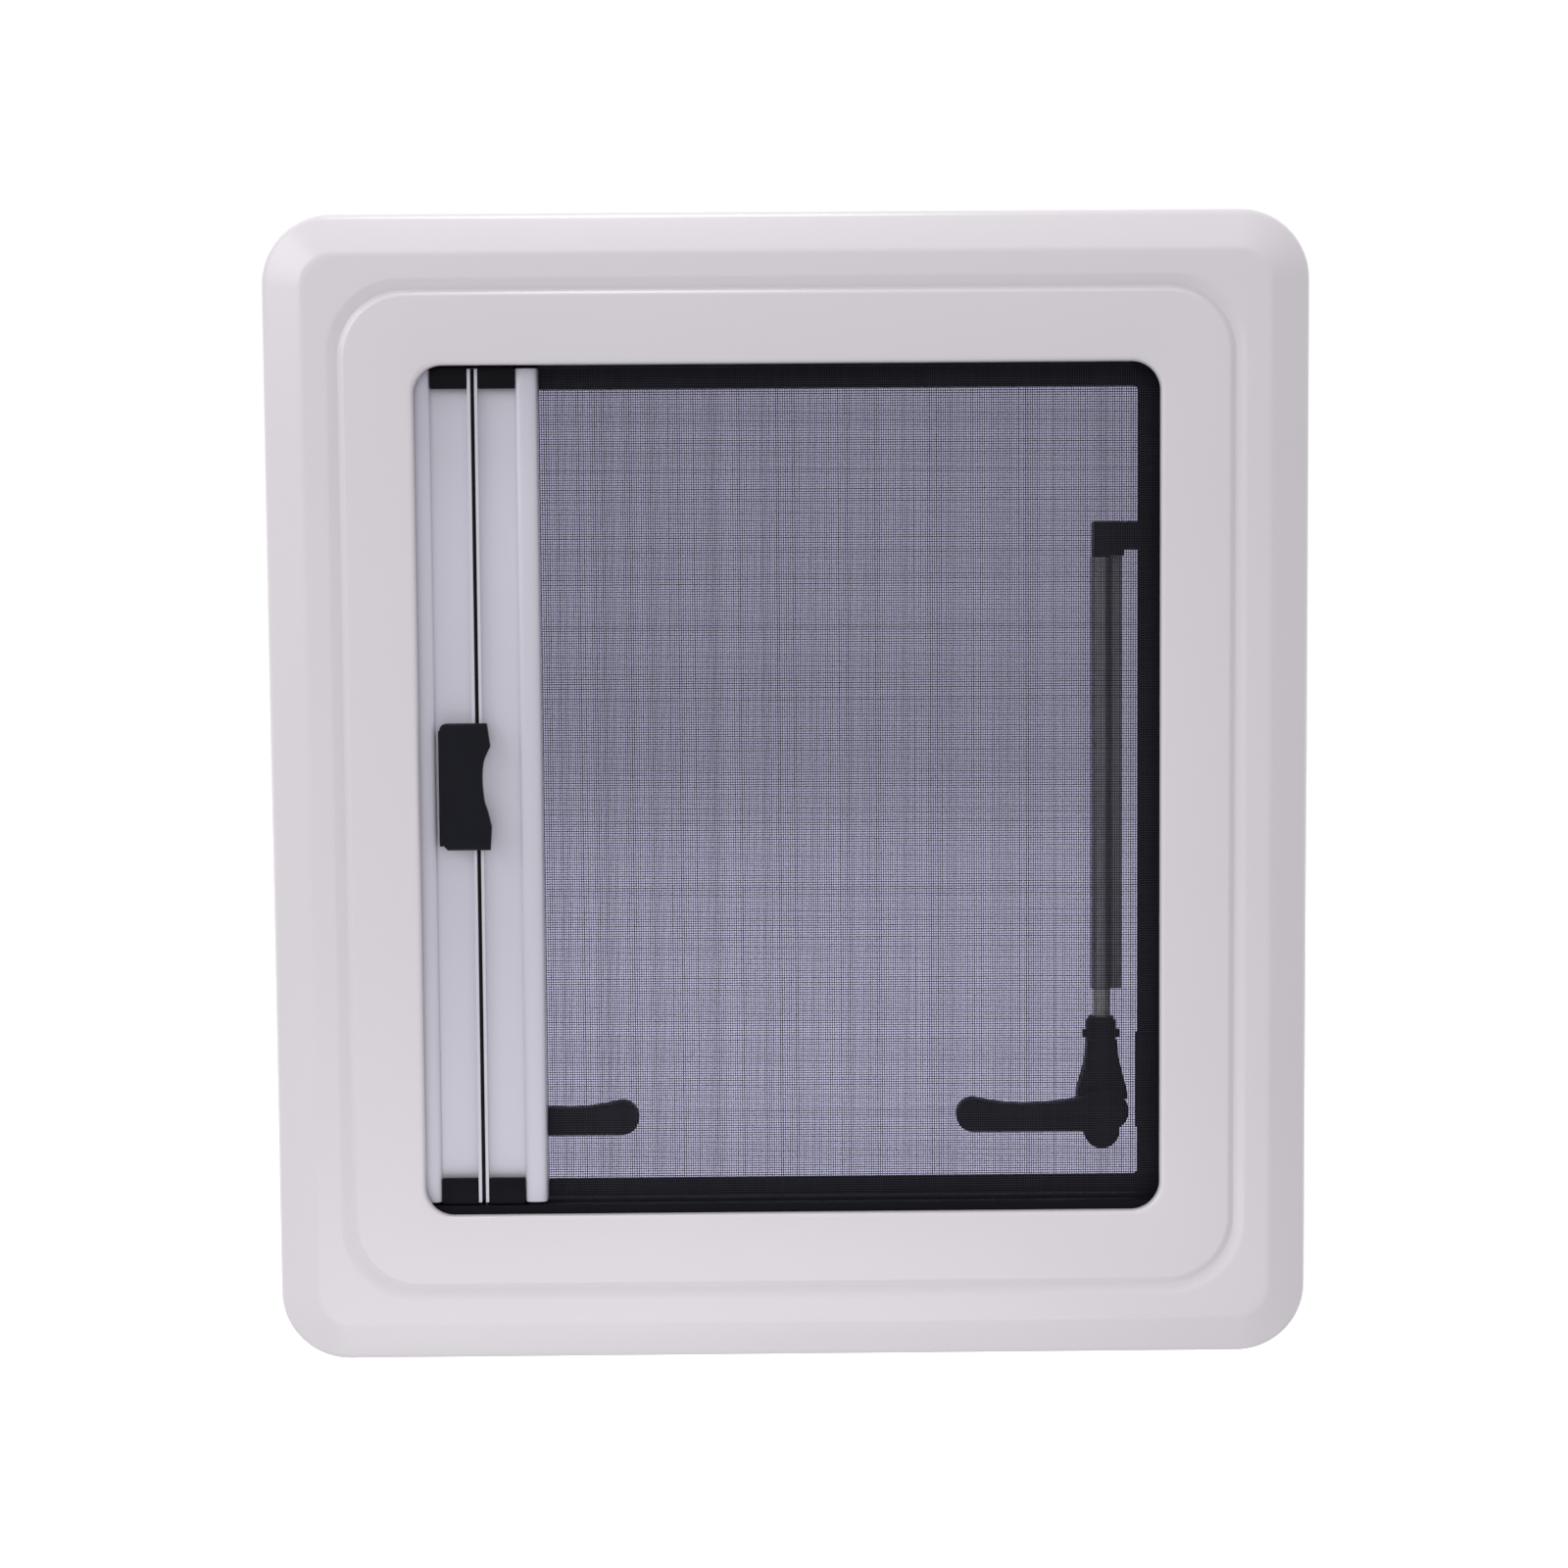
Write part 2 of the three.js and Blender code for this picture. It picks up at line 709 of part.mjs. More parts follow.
const fabricRoll = () => sleeve(FABRIC.roll, ROLLER.radius + GAP, FABRIC.bottom, FABRIC.top);

const fabricSheet = (left, right, thickness) =>
  block(
    [left, FABRIC.middle - thickness / 2, FABRIC.bottom],
    [right, FABRIC.middle + thickness / 2, FABRIC.top],
  );

// ---- Handle on the blind bar --------------------------------------------------------------------
const PIN_AXIS = { x: HANDLE.pinX, y: HANDLE.pinY };
const HANDLE_LUGS = [21, -14];
const BASE_LUGS = [13, -6];

const pinBore = () => rod('z', HANDLE.pin + 0.25, -30, 40, PIN_AXIS, 12);

/** Finger plate with a scooped free edge, two nibs behind the screen bar's lip and two hinge lugs. */
function handleLatch() {
  const { left, bottom, top, front, back } = HANDLE;
  const plate = new THREE.Shape();
  plate.moveTo(left + 3.3, bottom);
  plate.lineTo(-145.9, bottom);
  plate.lineTo(-145.2, -15.9);
  plate.splineThru([
    new THREE.Vector2(-147, -8.3),
    new THREE.Vector2(-148.6, -2.8),
    new THREE.Vector2(-149.4, 7),
    new THREE.Vector2(-148.8, 15),
    new THREE.Vector2(-147.4, 19.1),
    new THREE.Vector2(-145.4, 23.2),
  ]);
  plate.lineTo(-146.9, top);
  plate.lineTo(left + 4, top);
  plate.quadraticCurveTo(left, top, left, top - 4);
  plate.lineTo(left, bottom + 3.8);
  plate.closePath();
  const nibLeft = SCREEN_BAR.lipEdge + SCREEN_BAR.lip + GAP;
  const nibs = [-24, 25].map((z) =>
    block([nibLeft, back - 1, z], [nibLeft + 1.9, back + 2.8, z + 6]),
  );
  const lugs = HANDLE_LUGS.map((z) =>
    block([HANDLE.pinX - 1.9, back - 1, z - 3.5], [HANDLE.pinX + 1.9, -19.9, z + 3.5]),
  );
  return cut(joined(slab(plate, front, back), ...lugs, ...nibs), pinBore());
}

/** Foot in the bar's recess, with two lugs round the hinge pin. */
function handleBase() {
  const left = HANDLE.left - 1;
  const floor = BAR.floor - GAP;
  const foot = block([left, floor - 0.6, -25.6], [BLIND_BAR.lipEdge - 5, floor, 30.8]);
  const rim = block([left, -22.2, -25.6], [left + 1.4, floor, 30.8]);
  const lugs = BASE_LUGS.map((z) =>
    block([HANDLE.pinX - 2.2, -22.6, z - 3.5], [HANDLE.pinX + 2.2, floor, z + 3.5]),
  );
  const windows = HANDLE_LUGS.map((z) =>
    block([HANDLE.pinX - 2.6, -25, z - 4], [HANDLE.pinX + 2.6, floor + 1, z + 4]),
  );
  return cut(joined(foot, rim, ...lugs), pinBore(), ...windows);
}

const handlePin = () => rod('z', HANDLE.pin, -17, 24, PIN_AXIS, 12);

// ---- Assembly -----------------------------------------------------------------------------------
const window_ = new THREE.Group();
const trimSide = new THREE.Group();
trimSide.position.x = TRIM.shift;
window_.add(trimSide);

/** Adds one named piece to a group. */
function place(group, name, geometry, material) {
  const mesh = new THREE.Mesh(geometry, material);
  mesh.name = name;
  group.add(mesh);
  return mesh;
}

/** Adds a piece made for the right-hand side, and its mirror image on the left. */
function placePair(group, name, geometry, material) {
  place(group, `${name}_right`, geometry, material);
  place(group, `${name}_left`, mirrored(geometry), material);
}

place(trimSide, 'inner_trim', innerTrim(), CREAM);
place(window_, 'outer_frame', outerFrame(), BLACK_FRAME);
place(window_, 'wall_seal', wallSeal(), RUBBER);
place(window_, 'weather_seal', weatherSeal(), RUBBER);
const clampAcross = 110;
[-clampAcross, clampAcross].forEach((x, side) => {
  const name = side === 0 ? 'left' : 'right';
  place(window_, `wall_clamp_top_${name}`, wallClamp(), STEEL).position.x = x;
  const low = place(window_, `wall_clamp_bottom_${name}`, wallClamp(), STEEL);
  low.position.x = x;
  low.rotation.y = Math.PI;
});

place(window_, 'outer_pane', outerPane(), ACRYLIC);
place(window_, 'inner_pane', innerPane(), ACRYLIC);
place(window_, 'sash_hinge_rail', sashHingeRail(), BLACK_FRAME);
place(window_, 'frame_hinge_rail', frameHingeRail(), BLACK_FRAME);

placePair(window_, 'latch_base', latchBase(), BLACK_HARDWARE);
placePair(window_, 'latch_lever', latchLever(), BLACK_HARDWARE);
placePair(window_, 'latch_spindle', latchSpindle(), STEEL);
placePair(window_, 'latch_keeper', latchKeeper(), BLACK_HARDWARE);

placePair(window_, 'stay_sash_bracket', staySashBracket(), BLACK_HARDWARE);
placePair(window_, 'stay_pin', stayPin(), STEEL);
placePair(window_, 'stay_knuckle', stayKnuckle(), BLACK_HARDWARE);
placePair(window_, 'stay_rod', stayRod(), ALUMINIUM);
placePair(window_, 'stay_lock', stayLock(), BLACK_HARDWARE);
placePair(window_, 'stay_tube', stayTube(), ALUMINIUM);
placePair(window_, 'stay_tube_cap', stayTubeCap(), BLACK_HARDWARE);
placePair(window_, 'stay_frame_bracket', stayFrameBracket(), BLACK_HARDWARE);

place(trimSide, 'blind_pull_bar', pullBar(BLIND_BAR), SILVER);
place(trimSide, 'bar_seal', barSeal(), RUBBER);
place(trimSide, 'screen_pull_bar', pullBar(SCREEN_BAR), SILVER);
const capEdge = { top: 196, bottom: -189.5 };
Object.entries({ blind_bar_cap: BLIND_BAR, screen_bar_cap: SCREEN_BAR }).forEach(([name, bar]) => {
  const top = barCap(bar, BAR.top, TRACK_TOP, capEdge.top);
  const bottom = barCap(bar, BAR.bottom, TRACK_BOTTOM, capEdge.bottom);
  place(trimSide, `${name}_top`, top, BLACK_TRACK);
  place(trimSide, `${name}_bottom`, bottom, BLACK_TRACK);
});
place(trimSide, 'top_track', track(TRACK_TOP), BLACK_TRACK);
place(trimSide, 'bottom_track', track(TRACK_BOTTOM), BLACK_TRACK);
place(trimSide, 'screen_cassette', cassette(), BLACK_TRACK);
place(trimSide, 'blind_cassette', mirrored(cassette()), BLACK_TRACK);
place(trimSide, 'screen_roller', rollerTube(), ALUMINIUM);
place(trimSide, 'blind_roller', mirrored(rollerTube()), ALUMINIUM);
Object.entries({ screen_cassette_cap: 1, blind_cassette_cap: -1 }).forEach(([name, side]) => {
  const cap = side > 0 ? cassetteCap() : mirrored(cassetteCap());
  place(trimSide, `${name}_top`, cap, BLACK_TRACK);
  const low = place(trimSide, `${name}_bottom`, cap, BLACK_TRACK);
  low.rotation.x = Math.PI;
  low.position.y = 2 * CASSETTE.axisY;
});
place(trimSide, 'blind_fabric_roll', mirrored(fabricRoll()), BLIND_CLOTH);
const rollFace = CASSETTE.axisX - FABRIC.roll;
const blindSheet = fabricSheet(-rollFace + 0.2, BLIND_BAR.bumpEdge - GAP, FABRIC.blind);
place(trimSide, 'blind_fabric', blindSheet, BLIND_CLOTH);
const netEnd = CASSETTE.axisX - ROLLER.radius - 0.2;
const netSheet = fabricSheet(SCREEN_BAR.bumpEdge + GAP, netEnd, FABRIC.screen);
place(trimSide, 'screen_mesh', netSheet, NET);

place(trimSide, 'handle_base', handleBase(), BLACK_HARDWARE);
place(trimSide, 'handle_pin', handlePin(), STEEL);
place(trimSide, 'handle_latch', handleLatch(), BLACK_HARDWARE);

export default window_;
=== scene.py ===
"""A push-out vehicle window with an insect screen, seen from inside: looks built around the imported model."""

import json
import math
import random

import bmesh
import bpy
from mathutils import Matrix, Vector


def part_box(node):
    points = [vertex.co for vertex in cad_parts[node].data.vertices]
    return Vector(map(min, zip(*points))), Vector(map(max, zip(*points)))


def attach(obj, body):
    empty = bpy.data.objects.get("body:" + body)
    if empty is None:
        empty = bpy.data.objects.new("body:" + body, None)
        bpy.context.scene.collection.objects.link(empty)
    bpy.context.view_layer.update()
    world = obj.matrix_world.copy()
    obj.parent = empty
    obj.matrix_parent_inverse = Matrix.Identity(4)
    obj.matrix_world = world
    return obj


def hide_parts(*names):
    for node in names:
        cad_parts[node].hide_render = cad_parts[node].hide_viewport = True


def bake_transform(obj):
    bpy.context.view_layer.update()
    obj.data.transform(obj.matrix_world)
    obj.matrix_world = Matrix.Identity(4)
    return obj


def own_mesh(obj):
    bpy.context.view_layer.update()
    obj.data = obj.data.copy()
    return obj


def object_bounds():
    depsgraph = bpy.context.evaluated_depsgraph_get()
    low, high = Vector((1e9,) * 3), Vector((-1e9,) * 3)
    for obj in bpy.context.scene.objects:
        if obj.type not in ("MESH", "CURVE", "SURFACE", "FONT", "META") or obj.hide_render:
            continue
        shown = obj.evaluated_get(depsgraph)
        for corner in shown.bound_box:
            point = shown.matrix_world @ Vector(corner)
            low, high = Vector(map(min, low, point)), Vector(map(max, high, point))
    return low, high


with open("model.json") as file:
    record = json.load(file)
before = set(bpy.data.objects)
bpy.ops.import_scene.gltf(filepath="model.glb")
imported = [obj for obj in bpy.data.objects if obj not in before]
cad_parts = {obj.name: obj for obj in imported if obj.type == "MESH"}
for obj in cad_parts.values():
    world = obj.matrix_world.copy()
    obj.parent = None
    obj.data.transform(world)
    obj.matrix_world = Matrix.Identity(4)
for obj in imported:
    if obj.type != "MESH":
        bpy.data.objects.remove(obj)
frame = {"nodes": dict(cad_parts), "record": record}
cad_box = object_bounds()
NODES = frame["nodes"]
MM = 0.001
SIDES = ("left", "right")
ENDS = ("top", "bottom")


def body_of(node):
    """The body that a CAD node belongs to."""
    bodies = frame["record"]["behaviour"]["bodies"]
    return next(name for name, members in bodies.items() if node in members)


# ---- Materials ----------------------------------------------------------------------------------
NOISE_RANGE = (0.3, 0.7)  # most of a noise texture's values
ACRYLIC_IOR = 1.49
ACRYLIC_TINT = [0.805, 0.80, 0.865, 1]
ACRYLIC_HAZE = 0.03
ACRYLIC_WAVE = 0.4 * MM
RIB_HEIGHT = 0.05 * MM
WAVE_UNIT = math.pi / 20  # a wave texture of this scale rises or falls once per unit of length


def linear(red, green, blue):
    """A colour given as 0 to 255 screen values, as the shader wants it."""
    values = [v / 255 for v in (red, green, blue)]
    return [v / 12.92 if v <= 0.04045 else ((v + 0.055) / 1.055) ** 2.4 for v in values] + [1.0]


def shade(colour, factor):
    """A colour made darker or lighter."""
    return [min(1.0, c * factor) for c in colour[:3]] + [1.0]


class Nodes:
    """A short way to add shader nodes to one material."""

    def __init__(self, name):
        self.material = bpy.data.materials.new(name)
        self.material.use_nodes = True
        self.tree = self.material.node_tree
        self.tree.nodes.clear()
        self.output = self.add("ShaderNodeOutputMaterial")
        self.coordinates = self.add("ShaderNodeTexCoord")

    def add(self, kind, **settings):
        """A new node with its settings."""
        node = self.tree.nodes.new(kind)
        for key, value in settings.items():
            setattr(node, key, value)
        return node

    def link(self, source, target):
        """Joins an output to an input."""
        self.tree.links.new(source, target)

    def surface(self, shader):
        """Makes an output the material's surface, which completes the material."""
        self.link(shader, self.output.inputs["Surface"])
        return self.material

    def noise(self, scale, detail, stretch=(1, 1, 1)):
        """Noise in the object's own metres; scale is in features per metre."""
        place = self.add("ShaderNodeMapping")
        place.inputs["Scale"].default_value = stretch
        self.link(self.coordinates.outputs["Object"], place.inputs["Vector"])
        noise = self.add("ShaderNodeTexNoise")
        noise.inputs["Scale"].default_value = scale
        noise.inputs["Detail"].default_value = detail
        self.link(place.outputs["Vector"], noise.inputs["Vector"])
        return noise.outputs["Fac"]

    def ramp(self, value, source, target, interpolation="SMOOTHSTEP"):
        """Maps a range of the value to another range."""
        node = self.add("ShaderNodeMapRange", interpolation_type=interpolation)
        node.inputs["From Min"].default_value, node.inputs["From Max"].default_value = source
        node.inputs["To Min"].default_value, node.inputs["To Max"].default_value = target
        self.link(value, node.inputs["Value"])
        return node.outputs["Result"]

    def spread(self, noise, low, high):
        """Maps noise to a range."""
        return self.ramp(noise, NOISE_RANGE, (low, high), "LINEAR")

    def tint(self, noise, dark, light):
        """Maps noise to a colour between two."""
        node = self.add("ShaderNodeMix", data_type="RGBA")
        node.inputs["A"].default_value = dark
        node.inputs["B"].default_value = light
        self.link(self.spread(noise, 0, 1), node.inputs["Factor"])
        return node.outputs["Result"]

    def combine(self, operation, first, second):
        """Arithmetic on two outputs, or on a number and an output."""
        node = self.add("ShaderNodeMath", operation=operation)
        if isinstance(first, bpy.types.NodeSocket):
            self.link(first, node.inputs[0])
        else:
            node.inputs[0].default_value = first
        self.link(second, node.inputs[1])
        return node.outputs["Value"]

    def bump(self, height, distance):
        """The normal of a surface that rises by the distance where the height is 1."""
        node = self.add("ShaderNodeBump")
        node.inputs["Distance"].default_value = distance
        node.inputs["Strength"].default_value = 1.0
        self.link(height, node.inputs["Height"])
        return node.outputs["Normal"]


def finish(name, colour, roughness, variation, grain, depth, metallic=0.0, stretch=(1, 1, 1),
           rough_spread=0.05, coat=0.0, coat_roughness=0.25, specular=0.5):
    """Plastic, paint, metal or rubber: slow colour variation, a fine grain and its depth in mm."""
    n = Nodes(name)
    shader = n.add("ShaderNodeBsdfPrincipled")
    slow = n.noise(9, 4)
    fine = n.noise(grain, 2, stretch)
    base = n.tint(slow, shade(colour, 1 - variation), shade(colour, 1 + variation))
    n.link(base, shader.inputs["Base Color"])
    n.link(n.spread(fine, roughness - rough_spread, roughness + rough_spread), shader.inputs["Roughness"])
    n.link(n.bump(fine, depth * MM), shader.inputs["Normal"])
    shader.inputs["Metallic"].default_value = metallic
    shader.inputs["Coat Weight"].default_value = coat
    shader.inputs["Coat Roughness"].default_value = coat_roughness
    shader.inputs["Specular IOR Level"].default_value = specular
    return n.surface(shader.outputs["BSDF"])


def acrylic(name):
    """Clear sheet: what is behind shows through, tinted, and only the outer skin mirrors."""
    n = Nodes(name)
    through = n.add("ShaderNodeBsdfTransparent")
    through.inputs["Color"].default_value = ACRYLIC_TINT
    gloss = n.add("ShaderNodeBsdfGlossy")
    gloss.inputs["Roughness"].default_value = ACRYLIC_HAZE
    n.link(n.bump(n.noise(6, 2), ACRYLIC_WAVE), gloss.inputs["Normal"])
    fresnel = n.add("ShaderNodeFresnel")
    fresnel.inputs["IOR"].default_value = ACRYLIC_IOR
    outside = n.combine("SUBTRACT", 1, n.add("ShaderNodeNewGeometry").outputs["Backfacing"])
    mix = n.add("ShaderNodeMixShader")
    n.link(n.combine("MULTIPLY", fresnel.outputs["Fac"], outside), mix.inputs["Fac"])
    n.link(through.outputs["BSDF"], mix.inputs[1])
    n.link(gloss.outputs["BSDF"], mix.inputs[2])
    return n.surface(mix.outputs["Shader"])


def weave(name, colour, pitch):
    """Cloth with fine level ribs; the pitch is in mm."""
    n = Nodes(name)
    shader = n.add("ShaderNodeBsdfPrincipled")
    ribs = n.add("ShaderNodeTexWave", bands_direction="Z")
    ribs.inputs["Scale"].default_value = WAVE_UNIT / (pitch * MM)
    ribs.inputs["Distortion"].default_value = 0.4
    n.link(n.coordinates.outputs["Object"], ribs.inputs["Vector"])
    n.link(n.bump(ribs.outputs["Fac"], RIB_HEIGHT), shader.inputs["Normal"])
    n.link(n.tint(n.noise(30, 4), shade(colour, 0.95), shade(colour, 1.04)), shader.inputs["Base Color"])
    shader.inputs["Roughness"].default_value = 0.85
    shader.inputs["Sheen Weight"].default_value = 0.2
    return n.surface(shader.outputs["BSDF"])


CREAM = finish("cream_plastic", linear(217, 211.5, 218), 0.35, variation=0.008, grain=1400, depth=0.002,
               coat=0.4, coat_roughness=0.17)
BLACK_FRAME = finish("black_frame", linear(12, 12, 17), 0.55, variation=0.15, grain=1200, depth=0.03,
                     specular=0.07)
BLACK_PART = finish("black_hardware", linear(13, 13, 20), 0.45, variation=0.12, grain=1600, depth=0.02,
                    specular=0.1)
BLACK_GRIP = finish("black_grip", linear(17, 18, 27), 0.4, variation=0.1, grain=1600, depth=0.02,
                    specular=0.14)
BLACK_RAIL = finish("black_rail", linear(22, 22, 25), 0.38, variation=0.1, grain=700, depth=0.01,
                    stretch=(0.02, 1, 1), coat=0.2)
RUBBER = finish("seal_rubber", linear(15, 15, 17), 0.75, variation=0.2, grain=500, depth=0.05,
                specular=0.15)
SILVER = finish("silver_paint", linear(201, 199, 211), 0.42, metallic=0.12, variation=0.012,
                grain=2200, depth=0.004, rough_spread=0.03, specular=0.3)
TUBE_METAL = finish("drawn_tube", linear(190, 189, 199), 0.4, metallic=0.8, variation=0.08,
                    grain=1800, depth=0.02, stretch=(1, 1, 0.01))
ROD_METAL = finish("drawn_rod", linear(250, 249, 255), 0.3, metallic=0.35, variation=0.08,
                   grain=1800, depth=0.01, stretch=(1, 1, 0.01))
ROLLER_METAL = finish("mill_aluminium", linear(170, 170, 172), 0.4, metallic=0.9, variation=0.05,
                      grain=1500, depth=0.01, stretch=(1, 1, 0.01))
STEEL = finish("plated_steel", linear(160, 160, 158), 0.32, metallic=1.0, variation=0.08, grain=900,
               depth=0.01)
NET_THREAD = finish("net_thread", linear(38, 37, 47), 0.6, variation=0.1, grain=3000, depth=0.01,
                    specular=0.2)
BLIND_CLOTH = weave("blind_cloth", linear(205, 204, 208), 0.6)
OUTER_ACRYLIC = acrylic("outer_acrylic")
INNER_ACRYLIC = acrylic("inner_acrylic")


# ---- Mesh helpers -------------------------------------------------------------------------------
WELD = 0.002 * MM
FLAT_TURN = math.radians(0.6)  # facets that turn by less than this belong to one face
SHARP_TURN = math.radians(35)  # edges that turn by more than this are rounded off


def settle(name, bm, material, smooth_angle=40):
    """Turns a bmesh into an object that is smooth except at its sharp edges."""
    bmesh.ops.recalc_face_normals(bm, faces=bm.faces)
    mesh = bpy.data.meshes.new(name)
    bm.to_mesh(mesh)
    bm.free()
    mesh.shade_smooth()
    mesh.set_sharp_from_angle(angle=math.radians(smooth_angle))
    mesh.materials.append(material)
    piece = bpy.data.objects.new(name, mesh)
    bpy.context.scene.collection.objects.link(piece)
    return piece


def stand_for(piece, node):
    """The piece takes a CAD node's place on that node's body."""
    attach(piece, body_of(node))
    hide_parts(node)


def merged(node):
    """A CAD node's mesh with its facets joined again into whole flat faces."""
    bm = bmesh.new()
    bm.from_mesh(NODES[node].data)
    bmesh.ops.remove_doubles(bm, verts=bm.verts, dist=WELD)
    bmesh.ops.dissolve_limit(bm, angle_limit=FLAT_TURN, verts=bm.verts, edges=bm.edges)
    return bm


def sharp_edges(bm, limit):
    """The edges at which the surface turns by more than the limit."""
    return [e for e in bm.edges if len(e.link_faces) == 2 and e.calc_face_angle() > limit]


def round_off(bm, edges, width, segments, profile=0.5, clamp=True):
    """Rounds edges off; the width is in mm."""
    bmesh.ops.bevel(bm, geom=edges, offset=width * MM, offset_type="OFFSET", segments=segments,
                    profile=profile, affect="EDGES", clamp_overlap=clamp)


def refined(node, material, bevel, segments=2):
    """A CAD node with its sharp edges rounded off."""
    bm = merged(node)
    if bevel:
        round_off(bm, sharp_edges(bm, SHARP_TURN), bevel, segments)
    stand_for(settle(f"{node}_detail", bm, material), node)


# ---- Frame, panes, latches and stays -------------------------------------------------------------
refined("outer_frame", BLACK_FRAME, 0.5)
for node in ("wall_seal", "weather_seal", "bar_seal"):
    refined(node, RUBBER, 0.3)
for node in ("sash_hinge_rail", "frame_hinge_rail"):
    refined(node, BLACK_RAIL, 0.25)
for end in ENDS:
    for side in SIDES:
        refined(f"wall_clamp_{end}_{side}", STEEL, 0.3)
refined("outer_pane", OUTER_ACRYLIC, 0.3)
refined("inner_pane", INNER_ACRYLIC, 0)
for side in SIDES:
    refined(f"latch_lever_{side}", BLACK_PART, 1.3, 3)
    refined(f"latch_base_{side}", BLACK_PART, 0.6)
    refined(f"latch_keeper_{side}", BLACK_PART, 0.4)
    refined(f"latch_spindle_{side}", STEEL, 0.3)
    refined(f"stay_sash_bracket_{side}", BLACK_PART, 0.4)
    refined(f"stay_pin_{side}", STEEL, 0.3)
    refined(f"stay_knuckle_{side}", BLACK_PART, 0.5)
    refined(f"stay_lock_{side}", BLACK_PART, 0.5)
    refined(f"stay_rod_{side}", ROD_METAL, 0.4)
    refined(f"stay_tube_{side}", TUBE_METAL, 0.25)
    refined(f"stay_tube_cap_{side}", BLACK_PART, 0.6)
    refined(f"stay_frame_bracket_{side}", BLACK_PART, 0.6)

# ---- Screen and blind ----------------------------------------------------------------------------
for bar in ("blind", "screen"):
    refined(f"{bar}_pull_bar", SILVER, 0.15)
    for end in ENDS:
        refined(f"{bar}_bar_cap_{end}", BLACK_PART, 0.4)
        refined(f"{bar}_cassette_cap_{end}", BLACK_PART, 0.4)
    refined(f"{bar}_cassette", BLACK_PART, 0.3)
    refined(f"{bar}_roller", ROLLER_METAL, 0.2)
for end in ENDS:
    refined(f"{end}_track", BLACK_PART, 0.3)
refined("blind_fabric_roll", BLIND_CLOTH, 0.2)
refined("handle_base", BLACK_PART, 0.3)
refined("handle_pin", STEEL, 0.2)

SCOOP_DEPTH = 7 * MM  # how far the scooped edge reaches into the handle's plate
HAIR = 0.05 * MM  # slack when edges are picked by where they lie
PLATE_TURN = 0.6  # edges of the plate that turn by more than this, in radians, are rounded off
CLOTH_THICK = 0.15 * MM
CLOTH_LIFT = 0.2 * MM  # the cloth's gap from the roll
SLOT_SETBACK = 2.6 * MM  # the middle of the cassette's wall, seen from the cloth's end at the bar
CLOTH_WRAP = math.radians(100)


def finger_plate():
    """The handle's plate: a wide rounded slope round three sides, and a crisp scooped edge."""
    low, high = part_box("handle_latch")
    front = low.y + HAIR
    bm = merged("handle_latch")

    def middle(edge):
        return (edge.verts[0].co + edge.verts[1].co) / 2

    rim = [e for e in sharp_edges(bm, PLATE_TURN)
           if middle(e).x < high.x - SCOOP_DEPTH and all(v.co.y < front for v in e.verts)]
    round_off(bm, rim, 1.7, 4, profile=0.62, clamp=False)
    crisp = [e for e in sharp_edges(bm, PLATE_TURN) if middle(e).y < front]
    round_off(bm, crisp, 0.25, 2)
    stand_for(settle("handle_latch_detail", bm, BLACK_GRIP, 30), "handle_latch")


finger_plate()


def blind_strip():
    """The blind's cloth: from its bar through the cassette's slot and part of the way round the roll."""
    low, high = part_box("blind_fabric")
    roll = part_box("blind_fabric_roll")
    hub = ((roll[0] + roll[1]) / 2).xy
    radius = (roll[1].x - roll[0].x) / 2 + CLOTH_LIFT
    slot = Vector((high.x - SLOT_SETBACK, (low.y + high.y) / 2))
    away = slot - hub
    first = math.atan2(away.y, away.x) - math.acos(radius / away.length)
    steps, turns, rows = 6, 12, 40
    path = [slot.lerp(Vector((high.x, slot.y)), k / steps) for k in range(steps, -1, -1)]
    for k in range(turns + 1):
        angle = first - k / turns * CLOTH_WRAP
        path.append(hub + radius * Vector((math.cos(angle), math.sin(angle))))
    bm = bmesh.new()
    grid = [[bm.verts.new((p.x, p.y, low.z + (high.z - low.z) * k / rows)) for k in range(rows + 1)]
            for p in path]
    for here, after in zip(grid, grid[1:]):
        for k in range(rows):
            bm.faces.new((here[k], here[k + 1], after[k + 1], after[k]))
    bmesh.ops.recalc_face_normals(bm, faces=bm.faces)
    bmesh.ops.solidify(bm, geom=bm.faces[:], thickness=CLOTH_THICK)
    piece = settle("blind_cloth_strip", bm, BLIND_CLOTH, 60)
    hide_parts("blind_fabric")
    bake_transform(piece)


blind_strip()

# The net: its pitches, half a thread's width, a thread's depth, and how far a thread strays in mm.
UPRIGHT_PITCH = 1.115 * MM
LEVEL_PITCH = 1.18 * MM
THREAD_HALF = 0.18 * MM
THREAD_DEPTH = 0.2 * MM
THREAD_OVERLAP = 0.01 * MM
THREAD_STRAY = 0.02
UPRIGHT_WIDTHS = (0.82, 0.9, 0.95, 1.0, 1.05, 1.1, 1.25)
LEVEL_WIDTHS = (0.86, 0.93, 0.97, 1.0, 1.03, 1.08, 1.2)


def thread(bm, low, high):
    """A square thread between two corners."""
    centre = [(a + b) / 2 for a, b in zip(low, high)]
    size = [b - a for a, b in zip(low, high)]
    place = Matrix.Translation(centre) @ Matrix.Diagonal((*size, 1))
    bmesh.ops.create_cube(bm, size=1, matrix=place)


def threads(draw, low, high, pitch, widths):
    """The two sides of each thread between low and high, a pitch apart and a little uneven."""
    count = int((high - low - 2 * THREAD_HALF) / pitch)
    for i in range(count + 1):
        inner = 0 < i < count
        middle = low + THREAD_HALF + i * pitch + draw.uniform(-THREAD_STRAY, THREAD_STRAY) * MM * inner
        half = THREAD_HALF * draw.choice(widths)
        yield middle - half, middle + half


